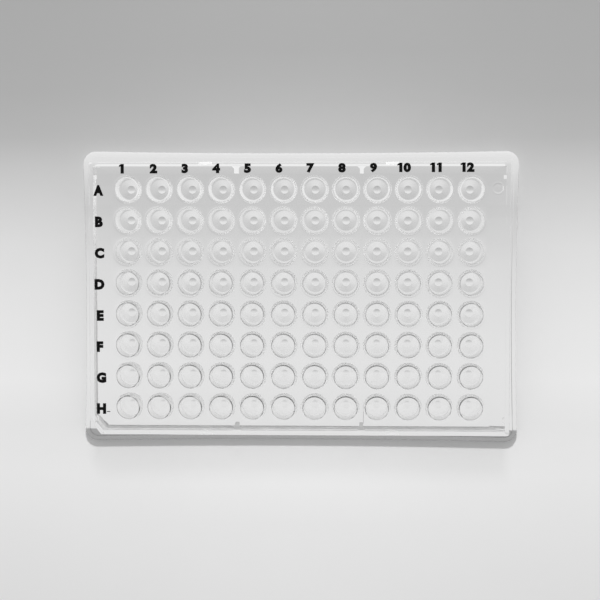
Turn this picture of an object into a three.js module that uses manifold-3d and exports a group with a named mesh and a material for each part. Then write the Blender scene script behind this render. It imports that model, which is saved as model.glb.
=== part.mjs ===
// A 96-well plate with V-bottom wells, one clear polystyrene moulding.
// Millimetres, +Z up. The plate lies on its base and its wells open upwards.
// The origin is the centre of the footprint, on the surface that the plate lies on.
// Column 1 is the column at -X and row A is the row at +Y.

import * as THREE from 'three';
import { mergeVertices } from 'three/addons/utils/BufferGeometryUtils.js';
import Module from 'manifold-3d';

// Well grid
const columns = 12;
const rows = 8;
const wellPitch = 9;

// One well, a tapered tube that ends in a cone
const mouthDiameter = 6.9;
const shoulderDiameter = 6.3; // where the tube meets the cone
const coneAngle = 90; // degrees, from side to side
const wellDepth = 10.9; // from the rim to the point of the cone
const wellWall = 0.6;
const rimRise = 0.3; // the rim above the deck
const wellClearance = 2.65; // from the base plane up to the wells

// Deck and the wall round it
const deckThickness = 1.2;
const sideWall = 1.3;
const columnMargin = 10.98; // from the outer columns to the deck's edge
const rowMargin = 7.84; // from the outer rows to the deck's edge
const cornerCutX = 3.1; // the corner by well H1 is cut off
const cornerCutY = 4.0;

// Base flange, which gives a footprint of 127.76 by 85.48
const ledgeWidth = 3.4;
const flangeHeight = 2.4;
const ledgeThickness = 1.2;
const footprintCorner = 3.6; // radius
const sideBow = 0.6; // each side of the footprint curves in by this much

// Gussets between the side wall and the underside of the deck
const gussetThickness = 1.1;
const gussetDepth = 4;
const gussetFlare = 0.7; // the root widens by this much on each side
const longSideReach = 2.2; // from the wall's inner face
const shortSideReach = 0.8;
const cornerGussetOffset = 4.34; // the short sides' gussets, from the deck's long edge

// Facets of the round forms
const boreSides = 12;
const tubeSides = 10;
const outlineSteps = 3;
const cutOver = 1; // how far a cutter runs past the face that it opens

const mouthRadius = mouthDiameter / 2;
const shoulderRadius = shoulderDiameter / 2;
const rimRadius = mouthRadius + wellWall;
const coneHalfAngle = THREE.MathUtils.degToRad(coneAngle / 2);
const tubeTipZ = wellClearance;
const boreTipZ = tubeTipZ + wellWall / Math.sin(coneHalfAngle);
const rimTopZ = boreTipZ + wellDepth;
const deckTopZ = rimTopZ - rimRise;
const deckUndersideZ = deckTopZ - deckThickness;
const deckHalfX = (columns - 1) * wellPitch / 2 + columnMargin;
const deckHalfY = (rows - 1) * wellPitch / 2 + rowMargin;
const footprintHalfX = deckHalfX + ledgeWidth;
const footprintHalfY = deckHalfY + ledgeWidth;

const wasm = await Module();
wasm.setup();

// A closed geometry as a solid that can be joined and cut
function solidOf(geometry) {
  geometry.deleteAttribute('normal');
  geometry.deleteAttribute('uv');
  const merged = mergeVertices(geometry);
  const corners = merged.index.array;
  const triangles = [];
  for (let i = 0; i < corners.length; i += 3) {
    const [a, b, c] = corners.slice(i, i + 3);
    if (a !== b && b !== c && c !== a) triangles.push(a, b, c);
  }
  return new wasm.Manifold(new wasm.Mesh({
    numProp: 3,
    vertProperties: merged.attributes.position.array,
    triVerts: Uint32Array.from(triangles),
  }));
}

function geometryOf(solid) {
  const mesh = solid.getMesh();
  const geometry = new THREE.BufferGeometry();
  geometry.setAttribute('position', new THREE.BufferAttribute(mesh.vertProperties, 3));
  geometry.setIndex(new THREE.BufferAttribute(mesh.triVerts, 1));
  geometry.computeVertexNormals();
  return geometry;
}

function slab(outline, bottomZ, topZ) {
  const geometry = new THREE.ExtrudeGeometry(outline, {
    depth: topZ - bottomZ,
    bevelEnabled: false,
    curveSegments: outlineSteps,
  });
  return geometry.translate(0, 0, bottomZ);
}

// A form turned about Z from [radius, z] pairs, bottom to top. Its facets hold as much
// as the round form: their corners stand a little outside the circle.
function turned(profile, sides) {
  const step = 2 * Math.PI / sides;
  const spread = Math.sqrt(step / Math.sin(step));
  const points = profile.map(([radius, z]) => new THREE.Vector2(radius * spread, z));
  return new THREE.LatheGeometry(points, sides).rotateX(Math.PI / 2);
}

// The footprint moved in by inset: round corners, and sides that bow in
function footprintOutline(inset) {
  const x = footprintHalfX - inset;
  const y = footprintHalfY - inset;
  const r = Math.max(footprintCorner - inset, footprintCorner / 4);
  const quarter = Math.PI / 2;
  const outline = new THREE.Shape();
  outline.moveTo(x, -y + r);
  outline.quadraticCurveTo(x - 2 * sideBow, 0, x, y - r);
  outline.absarc(x - r, y - r, r, 0, quarter);
  outline.quadraticCurveTo(0, y - 2 * sideBow, -x + r, y);
  outline.absarc(-x + r, y - r, r, quarter, 2 * quarter);
  outline.quadraticCurveTo(-x + 2 * sideBow, 0, -x, -y + r);
  outline.absarc(-x + r, -y + r, r, 2 * quarter, 3 * quarter);
  outline.quadraticCurveTo(0, -y + 2 * sideBow, x - r, -y);
  outline.absarc(x - r, -y + r, r, 3 * quarter, 4 * quarter);
  return outline;
}

// The deck's outline moved in by inset, with its corner cut off at -X -Y
function deckOutline(inset) {
  const x = deckHalfX - inset;
  const y = deckHalfY - inset;
  const slope = Math.hypot(1 / cornerCutX, 1 / cornerCutY);
  const cutX = cornerCutX * (1 + inset * (slope - 1 / cornerCutY)) - inset;
  const cutY = cornerCutY * (1 + inset * (slope - 1 / cornerCutX)) - inset;
  const outline = new THREE.Shape();
  outline.moveTo(-x + cutX, -y);
  outline.lineTo(x, -y);
  outline.lineTo(x, y);
  outline.lineTo(-x, y);
  outline.lineTo(-x, -y + cutY);
  outline.closePath();
  return outline;
}

// Deck, side wall and base flange, open underneath
function makeShell() {
  const flange = solidOf(slab(footprintOutline(0), 0, flangeHeight));
  const box = solidOf(slab(deckOutline(0), 0, deckTopZ));
  const flangeHollow = solidOf(
    slab(footprintOutline(sideWall), -cutOver, flangeHeight - ledgeThickness),
  );
  const boxHollow = solidOf(slab(deckOutline(sideWall), 0, deckUndersideZ));
  return flange.add(box).subtract(flangeHollow).subtract(boxHollow);
}

// A gusset with its root at y = 0, reaching along +Y
function gussetGeometry(reach) {
  const half = gussetThickness / 2;
  const root = half + gussetFlare;
  const rise = Math.min(gussetFlare, reach / 2);
  const outline = new THREE.Shape();
  outline.moveTo(-root, -sideWall / 2);
  outline.lineTo(root, -sideWall / 2);
  outline.lineTo(root, 0);
  outline.lineTo(half, rise);
  outline.lineTo(half, reach);
  outline.lineTo(-half, reach);
  outline.lineTo(-half, rise);
  outline.lineTo(-root, 0);
  outline.closePath();
  return slab(outline, deckUndersideZ - gussetDepth, deckTopZ - deckThickness / 2);
}

function makeGussets() {
  const gussets = [];
  for (const side of [-1, 1]) {
    for (const end of [-1, 1]) {
      const onLongSide = gussetGeometry(longSideReach);
      onLongSide.rotateZ(side > 0 ? Math.PI : 0);
      onLongSide.translate(end * columns / 6 * wellPitch, side * (deckHalfY - sideWall), 0);
      const onShortSide = gussetGeometry(shortSideReach);
      onShortSide.rotateZ(end * Math.PI / 2);
      onShortSide.translate(end * (deckHalfX - sideWall), side * (deckHalfY - cornerGussetOffset), 0);
      gussets.push(solidOf(onLongSide), solidOf(onShortSide));
    }
  }
  return gussets;
}

// The outside of a well under the deck
function tubeGeometry() {
  const radius = shoulderRadius + wellWall;
  return turned([
    [0, tubeTipZ],
    [radius, tubeTipZ + radius / Math.tan(coneHalfAngle)],
    [rimRadius, deckUndersideZ],
    [rimRadius, deckTopZ - deckThickness / 2],
    [0, deckTopZ - deckThickness / 2],
  ], tubeSides);
}

// The raised rim slopes from its foot on the deck up to the mouth of the well
function rimGeometry() {
  return turned([
    [0, deckTopZ - deckThickness / 2],
    [rimRadius, deckTopZ - deckThickness / 2],
    [rimRadius, deckTopZ],
    [mouthRadius, rimTopZ],
    [0, rimTopZ],
  ], boreSides);
}

// The space inside a well
function boreGeometry() {
  return turned([
    [0, boreTipZ],
    [shoulderRadius, boreTipZ + shoulderRadius / Math.tan(coneHalfAngle)],
    [mouthRadius, rimTopZ],
    [mouthRadius, rimTopZ + cutOver],
    [0, rimTopZ + cutOver],
  ], boreSides);
}

// One copy of a form at each well of the grid, as one solid
function atEachWell(geometry) {
  let all = null;
  for (let row = 0; row < rows; row += 1) {
    for (let column = 0; column < columns; column += 1) {
      const x = (column - (columns - 1) / 2) * wellPitch;
      const y = ((rows - 1) / 2 - row) * wellPitch;
      const copy = solidOf(geometry.clone().translate(x, y, 0));
      all = all ? all.add(copy) : copy;
    }
  }
  return all;
}

function makePlate() {
  let plate = makeShell();
  for (const gusset of makeGussets()) plate = plate.add(gusset);
  plate = plate.add(atEachWell(tubeGeometry()));
  plate = plate.add(atEachWell(rimGeometry()));
  return plate.subtract(atEachWell(boreGeometry()));
}

const clearPolystyrene = new THREE.MeshStandardMaterial({
  color: 0xe9eef0,
  roughness: 0.08,
  metalness: 0,
  transparent: true,
  opacity: 0.35,
});

const wellPlate = new THREE.Mesh(geometryOf(makePlate()), clearPolystyrene);
wellPlate.name = 'well_plate';

const group = new THREE.Group();
group.add(wellPlate);

export default group;
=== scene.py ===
# A clear 96-well plate with V-bottom wells, lying on a pale floor.
# Sizes are in millimetres and turn into metres where a mesh or a material is made.
# Column 1 is the column at -X and row A is the row at +Y.

import math

import bmesh
import bpy
from mathutils import Matrix, Vector
from mathutils.kdtree import KDTree


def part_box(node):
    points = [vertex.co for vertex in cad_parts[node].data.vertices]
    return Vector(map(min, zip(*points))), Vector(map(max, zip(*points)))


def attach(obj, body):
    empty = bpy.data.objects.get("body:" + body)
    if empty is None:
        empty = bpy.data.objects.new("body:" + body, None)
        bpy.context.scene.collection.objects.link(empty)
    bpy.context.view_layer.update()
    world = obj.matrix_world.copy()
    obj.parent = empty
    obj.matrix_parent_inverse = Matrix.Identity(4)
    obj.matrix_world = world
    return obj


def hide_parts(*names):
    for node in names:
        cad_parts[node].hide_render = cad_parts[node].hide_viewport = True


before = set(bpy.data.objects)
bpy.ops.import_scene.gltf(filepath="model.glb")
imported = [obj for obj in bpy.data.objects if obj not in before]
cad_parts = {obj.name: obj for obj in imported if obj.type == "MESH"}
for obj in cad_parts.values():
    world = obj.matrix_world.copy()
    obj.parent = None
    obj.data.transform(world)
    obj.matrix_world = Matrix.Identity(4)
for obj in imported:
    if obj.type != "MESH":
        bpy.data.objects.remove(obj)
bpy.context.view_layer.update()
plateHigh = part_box("well_plate")[1]
print("frame loaded, with", len(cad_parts), "node")

mm = 0.001
footprintHalfX = plateHigh.x / mm
footprintHalfY = plateHigh.y / mm
rimTop = plateHigh.z / mm


def makeObject(name, data):
    piece = bpy.data.objects.new(name, data)
    bpy.context.scene.collection.objects.link(piece)
    return piece


def ringPoints(radius, z, steps):
    return [
        (radius * math.cos(2 * math.pi * k / steps), radius * math.sin(2 * math.pi * k / steps), z)
        for k in range(steps)
    ]


def arcPoints(centre, radius, fromAngle, toAngle, steps):
    return [
        (
            centre[0] + radius * math.cos(fromAngle + (toAngle - fromAngle) * k / steps),
            centre[1] + radius * math.sin(fromAngle + (toAngle - fromAngle) * k / steps),
        )
        for k in range(steps + 1)
    ]


# Each round is a radius and its number of steps
plate = {
    "columns": 12,
    "rows": 8,
    "pitch": 9.0,
    "roundSteps": 24,  # round a well; a multiple of 8
    # the inside of a well
    "rimRise": 0.08,
    "rimRadius": 4.2,
    "rimFootRise": 0.01,
    "rimShares": (0.3, 0.7),  # places of the rings between the rim's foot and the land
    "landRadius": 3.8,  # the rim is flat from here to the mouth
    "mouthRadius": 3.22,
    "mouthRound": (0.06, 2),
    "shoulderRadius": 3.22,
    "shoulderRound": (0.6, 3),
    "wellDepth": 10.9,
    "tipBall": (1.7, 3),
    # the outside of a well
    "tubeRadius": 3.44,  # at the deck
    "tubeEnd": 3.44,  # at the cone
    "rootRound": (0.1, 2),
    "tubeRound": (0.1, 2),
    "wellWall": 0.28,  # at the top of the cone
    "kneeRadius": 3.0,  # the cone's wall gets thicker below this
    "kneeRound": (0.3, 1),
    "tipWall": 0.62,
    "bluntRadius": 1.35,  # the tip is blunt inside this
    "bluntRound": (0.15, 2),
    "bluntSag": 0.1,
    # distances to the rings that keep the surface beside a round flat
    "guard": 0.1,
    "rimGuard": 0.12,
    "tubeGuard": 0.35,
    # the deck, the side wall and the flange
    "deckThickness": 1.2,
    "sideWall": 1.3,
    "columnMargin": 10.98,
    "rowMargin": 7.84,
    "cornerCut": (3.1, 4.0),
    "deckCorner": 0.6,  # radius of the deck's upright corners
    "deckCornerLeast": 0.2,
    "edgeRound": 0.25,
    "flangeHeight": 2.4,
    "ledgeThickness": 1.2,
    "flangeCorner": 3.6,
    "flangeCornerLeast": 0.9,
    "footChamfer": 0.1,
    "sideBow": 0.6,
    # the gussets under the deck
    "gussetThickness": 1.1,
    "gussetDepth": 4.0,
    "gussetFlare": 0.7,
    "longSideReach": 1.95,
    "shortSideReach": 0.8,
    "cornerGussetOffset": 4.34,
    "mergeDistance": 0.001,
}
deckTop = rimTop - plate["rimRise"]
deckUnderside = deckTop - plate["deckThickness"]
deckHalfX = (plate["columns"] - 1) * plate["pitch"] / 2 + plate["columnMargin"]
deckHalfY = (plate["rows"] - 1) * plate["pitch"] / 2 + plate["rowMargin"]
ledgeUnderside = plate["flangeHeight"] - plate["ledgeThickness"]
gussetFoot = deckUnderside - plate["gussetDepth"]
longGussetX = plate["columns"] / 6 * plate["pitch"]  # the middle of a gusset on a long side
shortGussetY = deckHalfY - plate["cornerGussetOffset"]


def columnX(column):
    return (column - (plate["columns"] - 1) / 2) * plate["pitch"]


def rowY(row):
    return ((plate["rows"] - 1) / 2 - row) * plate["pitch"]


def roundCorner(before, corner, after, radius, steps):
    # points of a round in place of a corner between two straight lines
    start, middle, end = Vector(before), Vector(corner), Vector(after)
    toStart, toEnd = (start - middle).normalized(), (end - middle).normalized()
    half = math.acos(max(-1, min(1, toStart.dot(toEnd)))) / 2
    reach = radius / math.tan(half)
    centre = middle + (toStart + toEnd).normalized() * (radius / math.sin(half))
    first, last = middle + toStart * reach, middle + toEnd * reach
    a, b = first - centre, last - centre
    turn = a.angle_signed(b)
    points = [tuple(first + toStart * plate["guard"])]
    for k in range(steps + 1):
        t = -turn * k / steps
        points.append((
            centre.x + a.x * math.cos(t) - a.y * math.sin(t),
            centre.y + a.x * math.sin(t) + a.y * math.cos(t),
        ))
    points.append(tuple(last + toEnd * plate["guard"]))
    return points


def wellProfiles():
    # (radius, height) pairs of the inside and the outside, from the deck to the tip
    p = plate
    tip = rimTop - p["wellDepth"]
    foot, land = p["rimRadius"], p["landRadius"]
    mouth = (p["mouthRadius"], rimTop)
    shoulder = (p["shoulderRadius"], tip + p["shoulderRadius"])
    inside = [(foot + p["rimGuard"], deckTop), (foot, deckTop + p["rimFootRise"])]
    for t in p["rimShares"]:
        rise = p["rimRise"] * (3 * t * t - 2 * t ** 3)
        inside.append((foot + (land - foot) * t, deckTop + rise))
    inside.append((land, rimTop))
    inside += roundCorner((land, rimTop), mouth, shoulder, *p["mouthRound"])
    inside += roundCorner(mouth, shoulder, (0, tip), *p["shoulderRound"])
    ball, ballSteps = p["tipBall"]
    ballZ = tip + ball * math.sqrt(2)
    tangent = ball / math.sqrt(2)
    inside.append((tangent + p["guard"], tip + tangent + p["guard"]))
    for k in range(ballSteps, -1, -1):
        angle = math.radians(45 * k / ballSteps)
        inside.append((ball * math.sin(angle), ballZ - ball * math.cos(angle)))

    # the outside: the wall is thicker at the tip, which is blunt
    wallDrop = p["wellWall"] * math.sqrt(2)
    root = (p["tubeRadius"], deckUnderside)
    tube = (p["tubeEnd"], shoulder[1] + p["tubeEnd"] - shoulder[0] - wallDrop)
    knee = (p["kneeRadius"], tip + p["kneeRadius"] - wallDrop)
    blunt = (p["bluntRadius"], tip + p["bluntRadius"] - p["tipWall"] * math.sqrt(2))
    bottom = (0, blunt[1] - p["bluntSag"])
    outside = [(root[0] + p["tubeGuard"], deckUnderside)]
    outside += roundCorner((root[0] + 1, deckUnderside), root, tube, *p["rootRound"])
    outside += roundCorner(root, tube, knee, *p["tubeRound"])
    outside += roundCorner(tube, knee, blunt, *p["kneeRound"])
    outside += roundCorner(knee, blunt, bottom, *p["bluntRound"])
    outside.append(bottom)
    return inside, outside


def squarePoints(z, steps):
    # the edge of a well's square of deck, one point for each step round the well
    half = plate["pitch"] / 2
    points = []
    for k in range(steps):
        c = math.cos(2 * math.pi * k / steps)
        s = math.sin(2 * math.pi * k / steps)
        scale = half / max(abs(c), abs(s))
        points.append((round(c * scale, 6), round(s * scale, 6), z))
    return points


def oneWell():
    # a well with its square of deck: vertices and faces of both skins
    steps = plate["roundSteps"]
    vertices, faces = [], []
    for profile, z in zip(wellProfiles(), (deckTop, deckUnderside)):
        start = len(vertices)
        vertices += squarePoints(z, steps)
        for radius, height in profile[:-1]:
            vertices += ringPoints(radius, height, steps)
        rings = len(profile)
        for ring in range(rings - 1):
            a = start + ring * steps
            for k in range(steps):
                n = (k + 1) % steps
                faces.append((a + k, a + n, a + steps + n, a + steps + k))
        tip = len(vertices)
        vertices.append((0, 0, profile[-1][1]))
        last = start + (rings - 1) * steps
        for k in range(steps):
            faces.append((last + k, last + (k + 1) % steps, tip))
    return vertices, faces


def footprintRing(inset, z, sideSteps=10, cornerSteps=7):
    # round corners, and sides that bow in
    x, y = footprintHalfX - inset, footprintHalfY - inset
    r = max(plate["flangeCorner"] - inset, plate["flangeCornerLeast"])
    points = []
    corners = [(1, -1), (1, 1), (-1, 1), (-1, -1)]
    for i, (sx, sy) in enumerate(corners):
        centre = (sx * (x - r), sy * (y - r))
        points += arcPoints(centre, r, math.pi / 2 * (i - 1), math.pi / 2 * i, cornerSteps)
        start = points[-1]
        nextX, nextY = corners[(i + 1) % 4]
        onShortSide = nextX == sx
        end = (start[0], (y - r) * nextY) if onShortSide else (nextX * (x - r), start[1])
        for k in range(1, sideSteps):
            t = k / sideSteps
            px = start[0] + (end[0] - start[0]) * t
            py = start[1] + (end[1] - start[1]) * t
            sag = 4 * plate["sideBow"] * t * (1 - t)
            points.append((px - sx * sag, py) if onShortSide else (px, py - sy * sag))
    return [(px, py, z) for px, py in points]


def deckCorners(inset):
    x, y = deckHalfX - inset, deckHalfY - inset
    cutX, cutY = plate["cornerCut"]
    slope = math.hypot(1 / cutX, 1 / cutY)
    insetX = cutX * (1 + inset * (slope - 1 / cutY)) - inset
    insetY = cutY * (1 + inset * (slope - 1 / cutX)) - inset
    return [(-x + insetX, -y), (x, -y), (x, y), (-x, y), (-x, -y + insetY)]


def deckRing(inset, z, cornerSteps=4):
    corners = [Vector(corner) for corner in deckCorners(inset)]
    radius = max(plate["deckCorner"] - inset, plate["deckCornerLeast"])
    points = []
    for i, corner in enumerate(corners):
        before = (corners[i - 1] - corner).normalized()
        after = (corners[(i + 1) % len(corners)] - corner).normalized()
        half = before.angle(after) / 2
        centre = corner + (before + after).normalized() * radius / math.sin(half)
        start = corner + before * radius / math.tan(half) - centre
        turn = math.pi - 2 * half
        for k in range(cornerSteps + 1):
            rotated = Matrix.Rotation(turn * k / cornerSteps, 2) @ start
            points.append((centre.x + rotated.x, centre.y + rotated.y, z))
    return points


def gussetNotch(reach):
    # along the wall and away from it, in the order of the walk round the inside
    half = plate["gussetThickness"] / 2
    root = half + plate["gussetFlare"]
    rise = min(plate["gussetFlare"], reach / 2)
    return [(-root, 0), (-half, rise), (-half, reach), (half, reach), (half, rise), (root, 0)]


def innerWall():
    # the inside of the side wall, with each gusset's notch, as (x, y, on the plain wall)
    directions = [(1, 0), (0, 1), (-1, 0), (0, -1), None]  # the cut corner has no gusset
    walk = []
    for (x, y), direction in zip(deckCorners(plate["sideWall"]), directions):
        walk.append((x, y, True))
        if not direction:
            continue
        dx, dy = direction
        at = longGussetX if dx else shortGussetY
        reach = plate["longSideReach"] if dx else plate["shortSideReach"]
        for middle in (-at, at):
            rootX, rootY = (middle * dx, y) if dx else (x, middle * dy)
            for along, away in gussetNotch(reach):
                px = rootX + dx * along - dy * away
                py = rootY + dy * along + dx * away
                walk.append((px, py, away == 0))
    return walk


def addRing(bm, points):
    return [bm.verts.new(Vector(p) * mm) for p in points]


def bridge(bm, lower, upper):
    # quads between two closed rings of vertices
    count = len(lower)
    for k in range(count):
        n = (k + 1) % count
        bm.faces.new((lower[k], lower[n], upper[n], upper[k]))


def addBand(bm, points, last):
    # a ring of vertices, joined to the last one
    ring = addRing(bm, points)
    bridge(bm, ring, last)
    return ring


def fillBetween(bm, *loops):
    # a flat face between an outer loop and the loops inside it
    edges = []
    for loop in loops:
        for k, vertex in enumerate(loop):
            other = loop[(k + 1) % len(loop)]
            edges.append(bm.edges.get((vertex, other)) or bm.edges.new((vertex, other)))
    bmesh.ops.triangle_fill(bm, edges=edges, use_beauty=True)


def gridLoop(tree, bm, z):
    # the vertices round the whole grid of wells, at one height, in order
    steps = plate["roundSteps"]
    half = plate["pitch"] / 2
    offsets = [half * math.tan(2 * math.pi * k / steps) for k in range(-steps // 8, steps // 8)]
    halfX, halfY = plate["columns"] * half, plate["rows"] * half
    columns, rows = range(plate["columns"]), range(plate["rows"])
    points = [(columnX(column) + o, -halfY) for column in columns for o in offsets]
    points += [(halfX, rowY(row) + o) for row in reversed(rows) for o in offsets]
    points += [(columnX(column) - o, halfY) for column in reversed(columns) for o in offsets]
    points += [(-halfX, rowY(row) - o) for row in rows for o in offsets]
    return [bm.verts[tree.find(Vector((x, y, z)) * mm)[1]] for x, y in points]


def addWells(bm, mesh):
    # all the wells; gives the loops round the grid on the deck's top and underside
    vertices, faces = oneWell()
    allVertices, allFaces = [], []
    for row in range(plate["rows"]):
        for column in range(plate["columns"]):
            x, y = columnX(column), rowY(row)
            start = len(allVertices)
            allVertices += [((vx + x) * mm, (vy + y) * mm, vz * mm) for vx, vy, vz in vertices]
            allFaces += [tuple(start + i for i in face) for face in faces]
    mesh.from_pydata(allVertices, [], allFaces)
    bm.from_mesh(mesh)
    bmesh.ops.remove_doubles(bm, verts=bm.verts, dist=plate["mergeDistance"] * mm)
    bm.verts.ensure_lookup_table()
    tree = KDTree(len(bm.verts))
    for i, v in enumerate(bm.verts):
        tree.insert(v.co, i)
    tree.balance()
    return gridLoop(tree, bm, deckTop), gridLoop(tree, bm, deckUnderside)


def addOutside(bm, topLoop):
    # the deck's top and edge, the side wall and the ledge
    e, h, wall = plate["edgeRound"], plate["flangeHeight"], plate["sideWall"]
    low = e * (1 - math.sqrt(0.5))
    ring = addRing(bm, deckRing(e, deckTop))
    fillBetween(bm, ring, topLoop)
    for inset, z in ((low, deckTop - low), (0, deckTop - e), (0, h)):
        ring = addBand(bm, deckRing(inset, z), ring)
    ledge = addRing(bm, footprintRing(e, h))
    fillBetween(bm, ledge, ring)

    # the flange's edge, the ring that it stands on and its inside
    ring = ledge
    chamfer = plate["footChamfer"]
    for inset, z in (
        (low, h - low), (0, h - e), (0, e), (low, low), (e, 0),
        (wall - chamfer, 0), (wall, chamfer), (wall, ledgeUnderside),
    ):
        ring = addBand(bm, footprintRing(inset, z), ring)
    return ring


def addHollow(bm, flangeInside, undersideLoop):
    # the hollow underneath, with the gussets under the deck
    walk = innerWall()
    lower = addRing(bm, [(x, y, ledgeUnderside) for x, y, onWall in walk if onWall])
    fillBetween(bm, flangeInside, lower)
    full = addRing(bm, [(x, y, gussetFoot) for x, y, onWall in walk])
    upper = addRing(bm, [(x, y, deckUnderside) for x, y, onWall in walk])
    bridge(bm, full, upper)
    bridge(bm, lower, [v for v, (x, y, onWall) in zip(full, walk) if onWall])
    for k in range(len(walk)):
        if walk[k][2] and not walk[(k + 1) % len(walk)][2]:
            # the foot of a gusset, which has six corners
            bm.faces.new([full[(k + j) % len(walk)] for j in range(6)])
    fillBetween(bm, upper, undersideLoop)


def makePlate():
    mesh = bpy.data.meshes.new("plate")
    bm = bmesh.new()
    topLoop, undersideLoop = addWells(bm, mesh)
    flangeInside = addOutside(bm, topLoop)
    addHollow(bm, flangeInside, undersideLoop)
    bmesh.ops.recalc_face_normals(bm, faces=bm.faces)
    if bm.calc_volume(signed=True) < 0:
        bmesh.ops.reverse_faces(bm, faces=bm.faces)
    for face in bm.faces:
        face.smooth = True
    openEdges = sum(1 for edge in bm.edges if not edge.is_manifold)
    print("plate:", len(bm.verts), "vertices,", len(bm.faces), "faces,", openEdges, "open edges")
    bm.to_mesh(mesh)
    bm.free()
    mesh.set_sharp_from_angle(angle=math.radians(30))
    return makeObject("plate", mesh)


def addNode(tree, kind, inputs=None, **settings):
    # a shader node; each of its inputs is another node's output or a plain value
    node = tree.nodes.new("ShaderNode" + kind)
    for name, value in settings.items():
        setattr(node, name, value)
    for name, value in (inputs or {}).items():
        if isinstance(value, bpy.types.NodeSocket):
            tree.links.new(value, node.inputs[name])
        else:
            node.inputs[name].default_value = value
    return node


def addMath(tree, operation, first, second=0):
    return addNode(tree, "Math", {0: first, 1: second}, operation=operation).outputs["Value"]


def addShare(tree, value, low, high):
    # a value from 0 to 1 spread between low and high
    share = addNode(tree, "MapRange", {"Value": value, "To Min": low, "To Max": high})
    return share.outputs["Result"]


def addGreys(tree, where, shades, axis="Y"):
    # greys along one axis of a place in metres
    first, last = shades[0][0], shades[-1][0]
    split = addNode(tree, "SeparateXYZ", {"Vector": where})
    spread = addNode(tree, "MapRange", {
        "Value": split.outputs[axis], "From Min": first * mm, "From Max": last * mm,
    })
    ramp = addNode(tree, "ValToRGB", {"Fac": spread.outputs["Result"]})
    stops = ramp.color_ramp.elements
    stops.remove(stops[-1])
    for k, (at, grey) in enumerate(shades):
        position = (at - first) / (last - first)
        stop = stops.new(position) if k else stops[0]
        stop.position = position
        stop.color = (grey, grey, grey, 1)
    return ramp.outputs["Color"]


def addOpening(tree, ray, shader, colour=(1, 1, 1, 1)):
    # a shader that one kind of ray passes through
    path = addNode(tree, "LightPath")
    clear = addNode(tree, "BsdfTransparent", {"Color": colour})
    mixed = addNode(tree, "MixShader", {
        "Fac": path.outputs[ray], 1: shader, 2: clear.outputs["BSDF"],
    })
    return mixed.outputs["Shader"]


def makeWearGroup():
    # fine unevenness of a surface: a speckle from 0 to 1 and a height for bumps
    group = bpy.data.node_groups.new("fineWear", "ShaderNodeTree")
    sockets = group.interface
    sockets.new_socket("Place", in_out="INPUT", socket_type="NodeSocketVector")
    sockets.new_socket("Grain", in_out="INPUT", socket_type="NodeSocketFloat")
    sockets.new_socket("Speckle", in_out="OUTPUT", socket_type="NodeSocketFloat")
    sockets.new_socket("Height", in_out="OUTPUT", socket_type="NodeSocketFloat")
    given = group.nodes.new("NodeGroupInput")
    result = group.nodes.new("NodeGroupOutput")
    place, grain = given.outputs["Place"], given.outputs["Grain"]
    speckle = addNode(group, "TexNoise", {
        "Vector": place, "Scale": grain, "Detail": 4, "Roughness": 0.6,
    })
    # the ripple is five times longer along X
    stretched = addNode(group, "VectorMath", {0: place, 1: (0.2, 1, 1)}, operation="MULTIPLY")
    ripple = addNode(group, "TexNoise", {
        "Vector": stretched.outputs["Vector"], "Scale": grain, "Detail": 2,
    })
    group.links.new(speckle.outputs["Fac"], result.inputs["Speckle"])
    group.links.new(ripple.outputs["Fac"], result.inputs["Height"])
    return group


wearGroup = makeWearGroup()


def addWear(tree, grain):
    place = addNode(tree, "TexCoord")
    wear = addNode(tree, "Group", node_tree=wearGroup)
    tree.links.new(place.outputs["Object"], wear.inputs["Place"])
    wear.inputs["Grain"].default_value = grain
    return wear


# Lists of pairs are a place in mm, along Y or Z, and a grey or share from 0 to 1
clearPlastic = {
    "colour": (0.985, 0.985, 0.985, 1),
    "roughness": (0.016, 0.026),
    "ior": 1.59,
    "grain": 260,  # of the fine unevenness, for each metre
    "ripple": 0.003,
    # the light that it lets through to its shadow, along Z
    "shadowHeights": [(-1, 0.22), (2.6, 0.22), (3.1, 0.96), (15, 0.96)],
    # a faint ring on the deck
    "pinMark": (56.8, 31.8, 1.62),  # x, y and radius
    "pinMarkWidth": 0.3,
    "pinMarkRise": 14,  # times the ripple
    # painted light: glowing greys that stand in for light mirrored often in the walls,
    # bright on each well's side towards -Y and towards +Y, or painted shade where dark
    "paintedCaughtNear": [(-36, 0.76), (9, 0.78), (27, 0.90), (36, 0.95), (45, 0.90)],
    "paintedCaughtFar": [(-36, 0.76), (9, 0.74), (27, 0.70), (36, 0.74), (39, 0.88), (45, 0.90)],
    "paintedCaughtDark": [
        (-44, 0.10), (-39.4, 0.13), (-38.8, 0.46), (-35.6, 0.46), (-35, 0.13), (-18, 0.20),
        (0, 0.30), (9, 0.46), (18, 0.66), (27, 0.80), (36, 0.86), (45, 0.90),
    ],
    # the share of the painted dark, along Z: on all sides, and added on the sides towards +Y
    "darkHeights": [
        (-1, 1), (2.6, 1), (3.2, 0), (5.9, 0), (6.3, 1),
        (7.2, 1), (7.5, 0), (12.3, 0), (12.7, 1), (15, 1),
    ],
    "farHeights": [(-1, 0), (8.4, 0), (9.0, 1), (15, 1)],
    # which side of its cell a place is on, in shares of the cell from -Y to +Y
    "side": [(0, 0), (0.45, 0), (0.75, 1), (1, 1)],
    # 0: the painted light shows from the first mirroring, 1: from the second
    "mirrorShares": [(-36, 1), (14, 1), (20, 0), (36, 0)],
    # painted light and shade that shows without mirroring, in the flange and in the gussets
    "paintedFlangeShares": [(-44, 0.4), (-39.5, 0.4), (-39.2, 0), (28, 0), (39.5, 0.35), (44, 0.35)],
    "flangeHeights": [(-1, 1), (2.5, 1), (2.7, 0), (15, 0)],
    "paintedGussetShare": 0.85,
    "gussetMargin": 0.05,
    # white marks at the deck's edge on the long sides; the box is mirrored in X and Y
    "whiteMarkBox": {"X": (24.9, 28.7), "Y": (38.6, 40.4), "Z": (8, 15)},
    "whiteMarkShare": 0.6,
    "whiteMarkColour": (0.9, 0.9, 0.9, 1),
}


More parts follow.
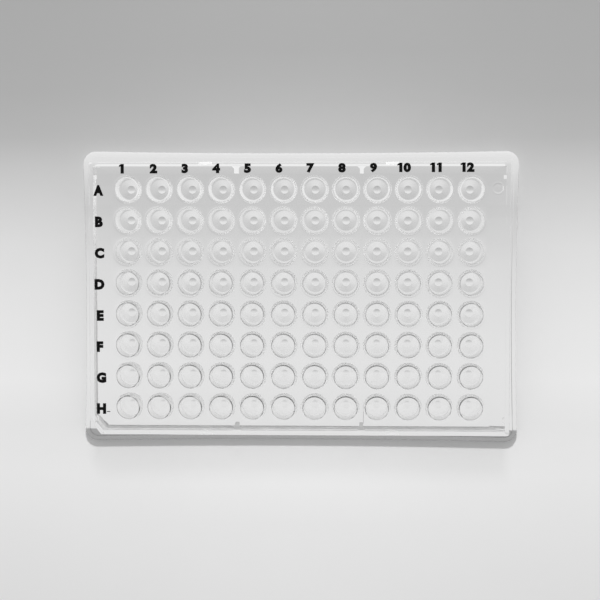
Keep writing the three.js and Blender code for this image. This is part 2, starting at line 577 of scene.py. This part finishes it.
def addPinMark(tree, where):
    # the height of a faint ring, 0 elsewhere
    x, y, radius = clearPlastic["pinMark"]
    middle = (x * mm, y * mm, deckTop * mm)
    apart = addNode(tree, "VectorMath", {0: where, 1: middle}, operation="DISTANCE")
    offset = addMath(tree, "SUBTRACT", apart.outputs["Value"], radius * mm)
    near = addNode(tree, "MapRange", {
        "Value": addMath(tree, "ABSOLUTE", offset),
        "From Max": clearPlastic["pinMarkWidth"] * mm,
        "To Min": clearPlastic["pinMarkRise"],
        "To Max": 0,
    })
    return near.outputs["Result"]


def addBoxMask(tree, where, share, box):
    # the share inside a box and its mirror images in X and Y, 0 elsewhere
    size = addNode(tree, "VectorMath", {0: where}, operation="ABSOLUTE")
    split = addNode(tree, "SeparateXYZ", {"Vector": size.outputs["Vector"]})
    for axis, (low, high) in box.items():
        for operation, limit in (("GREATER_THAN", low), ("LESS_THAN", high)):
            inside = addMath(tree, operation, split.outputs[axis], limit * mm)
            share = addMath(tree, "MULTIPLY", inside, share)
    return share


def addGussetMask(tree, where):
    # where the painted light and shade shows in the gussets
    share, margin = clearPlastic["paintedGussetShare"], clearPlastic["gussetMargin"]
    half = plate["gussetThickness"] / 2
    root = half + plate["gussetFlare"]
    longWall = deckHalfY - plate["sideWall"]
    shortWall = deckHalfX - plate["sideWall"]
    heights = (gussetFoot - margin, deckUnderside - margin)
    onLongSides = addBoxMask(tree, where, share, {
        "X": (longGussetX - root, longGussetX + root),
        "Y": (longWall - plate["longSideReach"] - 2 * margin, longWall - margin),
        "Z": heights,
    })
    onShortSides = addBoxMask(tree, where, share, {
        "X": (shortWall - plate["shortSideReach"] - 2 * margin, deckHalfX - 2 * margin),
        "Y": (shortGussetY - half, shortGussetY + half),
        "Z": heights,
    })
    return addMath(tree, "MAXIMUM", onLongSides, onShortSides)


def addWellSide(tree, where):
    # 0 on the side of each well towards -Y, 1 on the side towards +Y
    cells = 1 / (plate["pitch"] * mm)
    cell = addNode(tree, "VectorMath", {0: where, "Scale": cells}, operation="SCALE")
    part = addNode(tree, "VectorMath", {0: cell.outputs["Vector"]}, operation="FRACTION")
    place = addNode(tree, "VectorMath", {0: part.outputs["Vector"], "Scale": mm}, operation="SCALE")
    return addGreys(tree, place.outputs["Vector"], clearPlastic["side"])


def addPaintedCaughtLight(tree, where, side):
    # painted light: a glow that stands in for light caught in the walls, bright or dark by height
    # and side
    farHeights = addGreys(tree, where, clearPlastic["farHeights"], "Z")
    darkHeights = addGreys(tree, where, clearPlastic["darkHeights"], "Z")
    dark = addMath(tree, "MAXIMUM", addMath(tree, "MULTIPLY", side, farHeights), darkHeights)
    bright = addNode(tree, "Mix", {
        "Factor": side,
        "A": addGreys(tree, where, clearPlastic["paintedCaughtNear"]),
        "B": addGreys(tree, where, clearPlastic["paintedCaughtFar"]),
    }, data_type="RGBA")
    shade = addNode(tree, "Mix", {
        "Factor": dark,
        "A": bright.outputs["Result"],
        "B": addGreys(tree, where, clearPlastic["paintedCaughtDark"]),
    }, data_type="RGBA")
    return addNode(tree, "Emission", {"Color": shade.outputs["Result"]}).outputs["Emission"]


def addPaintedLightShare(tree, where, side):
    # where that painted light shows: after one or two mirrorings, and in the flange and the gussets
    late = addMath(tree, "MAXIMUM", side, addGreys(tree, where, clearPlastic["mirrorShares"]))
    fewest = addShare(tree, late, 0.5, 1.5)  # halfway between whole numbers of mirrorings
    mirrorings = addNode(tree, "LightPath").outputs["Glossy Depth"]
    mirrored = addMath(tree, "GREATER_THAN", mirrorings, fewest)
    flange = addMath(
        tree, "MULTIPLY",
        addGreys(tree, where, clearPlastic["paintedFlangeShares"]),
        addGreys(tree, where, clearPlastic["flangeHeights"], "Z"),
    )
    edges = addMath(tree, "MAXIMUM", flange, addGussetMask(tree, where))
    return addMath(tree, "MAXIMUM", mirrored, edges)


def makeClearPlastic():
    material = bpy.data.materials.new("clear_polystyrene")
    material.use_nodes = True
    tree = material.node_tree
    tree.nodes.clear()
    where = addNode(tree, "TexCoord").outputs["Object"]
    wear = addWear(tree, clearPlastic["grain"])
    bump = addNode(tree, "Bump", {
        "Height": addMath(tree, "ADD", addPinMark(tree, where), wear.outputs["Height"]),
        "Strength": 1,
        "Distance": clearPlastic["ripple"] * mm,
    })
    plastic = addNode(tree, "BsdfPrincipled", {
        "Base Color": clearPlastic["colour"],
        "Roughness": addShare(tree, wear.outputs["Speckle"], *clearPlastic["roughness"]),
        "IOR": clearPlastic["ior"],
        "Transmission Weight": 1,
        "Normal": bump.outputs["Normal"],
    })
    side = addWellSide(tree, where)
    # the plastic, with the painted light and shade mixed in
    withPaintedLight = addNode(tree, "MixShader", {
        "Fac": addPaintedLightShare(tree, where, side),
        1: plastic.outputs["BSDF"],
        2: addPaintedCaughtLight(tree, where, side),
    })
    # white marks mixed in at the deck's edge
    whiteMatt = addNode(tree, "BsdfDiffuse", {"Color": clearPlastic["whiteMarkColour"]})
    marked = addNode(tree, "MixShader", {
        "Fac": addBoxMask(tree, where, clearPlastic["whiteMarkShare"], clearPlastic["whiteMarkBox"]),
        1: withPaintedLight.outputs["Shader"],
        2: whiteMatt.outputs["BSDF"],
    })
    shadow = addGreys(tree, where, clearPlastic["shadowHeights"], "Z")
    surface = addOpening(tree, "Is Shadow Ray", marked.outputs["Shader"], shadow)
    addNode(tree, "OutputMaterial", {"Surface": surface})
    return material


labels = {
    "numberHeight": 2.75,
    "numberY": 37.39,
    "numberShift": -1.17,  # from the column's centre
    "numberStretch": 1.15,  # along X
    "numberTilt": 0.035,  # up for each column
    "letterHeight": 3.1,
    "letterX": -57.21,
    "letterShift": -0.31,  # from the row's centre
    # along X, from row A
    "letterNudges": [-0.4, -0.3, -0.2, -0.25, -0.1, -0.25, 0.1, 0.05],
    "letterStretches": [0.88, 1, 1, 1, 1, 1, 1, 1],
    # added to the strokes, in shares of the text's size
    "boldness": 0.05,
    "weight": 0.026,  # on every side
    "curveSteps": 3,
    # the flag of each digit 1: its shifts from the middle of the number, and its outline
    # from the digit's top
    "onesFlags": {1: [0], 10: [-1.25], 11: [-0.95, 0.95], 12: [-1.3]},
    "flagOutline": [
        (0.1, -0.7), (0.1, -0.01), (-0.25, -0.01), (-0.95, -0.4), (-0.95, -0.85), (-0.35, -0.65),
    ],
    # small dark marks: middle x, middle y, length along X, length along Y
    "marks": [(-55.1, -32.67, 1.0, 0.22), (18.6, -34.1, 0.07, 3.4)],
    "inkThickness": 0.012,
    "inkGap": 0.002,  # keeps the ink apart from the deck
    "inkShades": (0.002, 0.006),
    "inkRoughness": (0.5, 0.65),
    "inkGloss": 0.1,
    "inkGrain": 900,  # for each metre
}


def makeInk():
    material = bpy.data.materials.new("black_ink")
    material.use_nodes = True
    tree = material.node_tree
    speckle = addWear(tree, labels["inkGrain"]).outputs["Speckle"]
    low, high = labels["inkShades"]
    tint = addNode(tree, "Mix", {
        "Factor": speckle, "A": (low, low, low, 1), "B": (high, high, high, 1),
    }, data_type="RGBA")
    ink = tree.nodes["Principled BSDF"]
    ink.inputs["Specular IOR Level"].default_value = labels["inkGloss"]
    tree.links.new(tint.outputs["Result"], ink.inputs["Base Color"])
    tree.links.new(addShare(tree, speckle, *labels["inkRoughness"]), ink.inputs["Roughness"])
    # the thin ink throws no shadow of its own beside the plate's
    surface = addOpening(tree, "Is Shadow Ray", ink.outputs["BSDF"])
    tree.links.new(surface, tree.nodes["Material Output"].inputs["Surface"])
    return material


def addLabel(bm, text, height, x, y, stretch):
    curve = bpy.data.curves.new("label", "FONT")
    curve.body = text
    curve.align_x = "CENTER"
    curve.align_y = "CENTER"
    curve.size = 1
    curve.offset = labels["boldness"]
    curve.bevel_depth = labels["weight"]
    curve.bevel_resolution = 0
    curve.resolution_u = labels["curveSteps"]
    helper = makeObject("label", curve)
    bpy.context.view_layer.update()
    evaluated = helper.evaluated_get(bpy.context.evaluated_depsgraph_get())
    mesh = bpy.data.meshes.new_from_object(evaluated)
    bpy.data.objects.remove(helper)
    bpy.data.curves.remove(curve)
    low = Vector([min(v.co[k] for v in mesh.vertices) for k in range(3)])
    high = Vector([max(v.co[k] for v in mesh.vertices) for k in range(3)])
    scale = height / (high.y - low.y)
    size = Vector((scale * stretch, scale, labels["inkThickness"] / (high.z - low.z)))
    place = Vector((x, y, deckTop + labels["inkGap"] + labels["inkThickness"] / 2))
    for v in mesh.vertices:
        v.co = ((v.co - (low + high) / 2) * size + place) * mm
    bm.from_mesh(mesh)


def addPatch(bm, outline):
    # a thin closed patch of ink; its outline runs anticlockwise
    low = deckTop + labels["inkGap"]
    high = low + labels["inkThickness"]
    lower = addRing(bm, [(x, y, low) for x, y in outline])
    upper = addRing(bm, [(x, y, high) for x, y in outline])
    bridge(bm, lower, upper)
    bm.faces.new(upper)
    bm.faces.new(reversed(lower))


def makeLabels():
    bm = bmesh.new()
    for column in range(plate["columns"]):
        x = columnX(column) + labels["numberShift"]
        y = labels["numberY"] + labels["numberTilt"] * column
        height = labels["numberHeight"]
        addLabel(bm, str(column + 1), height, x, y, labels["numberStretch"])
        for shift in labels["onesFlags"].get(column + 1, []):
            outline = labels["flagOutline"]
            addPatch(bm, [(x + shift + dx, y + height / 2 + dy) for dx, dy in outline])
    for row in range(plate["rows"]):
        x = labels["letterX"] + labels["letterNudges"][row]
        y = rowY(row) + labels["letterShift"]
        stretch = labels["letterStretches"][row]
        addLabel(bm, "ABCDEFGH"[row], labels["letterHeight"], x, y, stretch)
    for x, y, length, width in labels["marks"]:
        corners = [(-1, -1), (1, -1), (1, 1), (-1, 1)]
        addPatch(bm, [(x + sx * length / 2, y + sy * width / 2) for sx, sy in corners])
    mesh = bpy.data.meshes.new("printed_labels")
    bm.to_mesh(mesh)
    bm.free()
    return makeObject("printed_labels", mesh)


platePiece = makePlate()
platePiece.data.materials.append(makeClearPlastic())
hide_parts("well_plate")
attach(platePiece, "root")
print("plate made")

labelPiece = makeLabels()
labelPiece.data.materials.append(makeInk())
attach(labelPiece, "root")
print("labels made")


# Lists of pairs are a place along Y in mm and a grey
floor = {
    "size": 4000,
    "gap": 0.05,  # keeps its surface apart from the plate's foot
    # painted shade: the greys get darker towards +Y and a little at the sides, painting how the
    # light falls off
    "middleShades": [
        (-140, 0.750), (-83, 0.806), (-68, 0.823), (-53, 0.892), (-48, 0.883), (-25, 0.843),
        (0, 0.762), (15, 0.693), (28, 0.622), (38, 0.553), (47, 0.483), (50, 0.467),
        (57.7, 0.423), (65, 0.393), (72.5, 0.371), (90, 0.359),
    ],
    "sideShades": [
        (-140, 0.748), (-83, 0.784), (-68, 0.800), (-53, 0.819), (-38, 0.795), (-25, 0.824),
        (-9, 0.778), (0, 0.750), (15, 0.685), (28, 0.592), (38, 0.514), (47, 0.424),
        (50, 0.411), (60, 0.377), (72.5, 0.360), (90, 0.342),
    ],
    "halfWidth": 85,  # from the middle shades to the side shades
    "roughness": 0.9,
    "gloss": 0.1,
}
backdrop = {
    "size": 1200,
    "depth": 250,  # below the deck; it is what the clear plate shows
    # painted light: glowing greys, darker towards +Y, painting how the light falls off
    "shades": [
        (-141, 0.745), (-96, 0.790), (-71, 0.772), (-57, 0.792), (-43, 0.802), (-29, 0.784),
        (-15, 0.761), (0, 0.729), (13, 0.653), (27, 0.590), (42, 0.564), (60, 0.500),
        (80, 0.480), (116, 0.434),
    ],
}
cloudiness = {
    "grain": 40,  # for each metre
    "spread": 0.012,
}


def flatPiece(name, size, z):
    half = size / 2
    mesh = bpy.data.meshes.new(name)
    corners = [(-half, -half), (half, -half), (half, half), (-half, half)]
    mesh.from_pydata([(x * mm, y * mm, z * mm) for x, y in corners], [], [(0, 1, 2, 3)])
    return makeObject(name, mesh)


def addCloudiness(tree, colour):
    wear = addWear(tree, cloudiness["grain"])
    spread = cloudiness["spread"]
    level = addShare(tree, wear.outputs["Speckle"], 1 - spread, 1 + spread)
    mixed = addNode(tree, "Mix", {
        "Factor": 1, "A": colour, "B": level,
    }, data_type="RGBA", blend_type="MULTIPLY")
    return mixed.outputs["Result"]


def makeFloor():
    piece = flatPiece("floor", floor["size"], -floor["gap"])
    material = bpy.data.materials.new("floor")
    material.use_nodes = True
    tree = material.node_tree
    where = addNode(tree, "TexCoord").outputs["Object"]
    split = addNode(tree, "SeparateXYZ", {"Vector": where})
    aside = addNode(tree, "MapRange", {
        "Value": addMath(tree, "ABSOLUTE", split.outputs["X"]),
        "From Max": floor["halfWidth"] * mm,
    }, interpolation_type="SMOOTHSTEP")
    # painted shade: darker towards +Y and at the sides
    shades = addNode(tree, "Mix", {
        "Factor": aside.outputs["Result"],
        "A": addGreys(tree, where, floor["middleShades"]),
        "B": addGreys(tree, where, floor["sideShades"]),
    }, data_type="RGBA")
    matt = tree.nodes["Principled BSDF"]
    matt.inputs["Roughness"].default_value = floor["roughness"]
    matt.inputs["Specular IOR Level"].default_value = floor["gloss"]
    tree.links.new(addCloudiness(tree, shades.outputs["Result"]), matt.inputs["Base Color"])
    # rays that come through the clear plate go on to the backdrop
    surface = addOpening(tree, "Is Transmission Ray", matt.outputs["BSDF"])
    tree.links.new(surface, tree.nodes["Material Output"].inputs["Surface"])
    piece.data.materials.append(material)


def makeBackdrop():
    piece = flatPiece("backdrop", backdrop["size"], deckTop - backdrop["depth"])
    material = bpy.data.materials.new("backdrop")
    material.use_nodes = True
    tree = material.node_tree
    tree.nodes.clear()
    where = addNode(tree, "TexCoord").outputs["Object"]
    # glowing greys, darker towards +Y: painted light
    shades = addGreys(tree, where, backdrop["shades"])
    glow = addNode(tree, "Emission", {"Color": addCloudiness(tree, shades)})
    addNode(tree, "OutputMaterial", {"Surface": glow.outputs["Emission"]})
    piece.data.materials.append(material)


lighting = {
    "world": 0.54,
    "worldBelow": 0.5,
    "keyPower": 3.16,
    "keySize": 60,
    "keyFrom": (20, 465, 482),
}


def makeWorld():
    world = bpy.data.worlds.new("world")
    bpy.context.scene.world = world
    world.use_nodes = True
    tree = world.node_tree
    place = addNode(tree, "TexCoord")
    split = addNode(tree, "SeparateXYZ", {"Vector": place.outputs["Generated"]})
    sky, below = lighting["world"], lighting["worldBelow"]
    shade = addNode(tree, "Mix", {
        "Factor": addMath(tree, "GREATER_THAN", split.outputs["Z"]),
        "A": (below, below, below, 1),
        "B": (sky, sky, sky, 1),
    }, data_type="RGBA")
    tree.links.new(shade.outputs["Result"], tree.nodes["Background"].inputs["Color"])


def makeKey():
    key = bpy.data.lights.new("key", "AREA")
    key.energy = lighting["keyPower"]
    key.shape = "DISK"
    key.size = lighting["keySize"] * mm
    lamp = makeObject("key", key)
    lamp.visible_glossy = False
    lamp.visible_transmission = False
    lamp.location = Vector(lighting["keyFrom"]) * mm
    lamp.rotation_euler = (-lamp.location).to_track_quat("-Z", "Y").to_euler()


camera = {
    "height": 450,  # above the deck
    "offset": (15.9, 26.9),
    "aim": (0.35, -0.20),
    "lens": 94.27,
    "sensor": 36,
    "nearest": 10,
}


def makeCamera():
    data = bpy.data.cameras.new("camera")
    piece = makeObject("camera", data)
    aim = Vector((*camera["aim"], deckTop)) * mm
    eye = Vector((*camera["offset"], deckTop + camera["height"])) * mm
    back = (eye - aim).normalized()
    right = Vector((0, 1, 0)).cross(back).normalized()
    up = back.cross(right)
    turn = Matrix((right, up, back)).transposed()
    piece.matrix_world = Matrix.Translation(eye) @ turn.to_4x4()
    data.sensor_width = camera["sensor"]
    data.lens = camera["lens"]
    data.clip_start = camera["nearest"] * mm
    bpy.context.scene.camera = piece


makeFloor()
makeBackdrop()
makeWorld()
makeKey()
makeCamera()
bpy.context.scene.view_settings.view_transform = "Standard"
print("floor, lights and camera made")
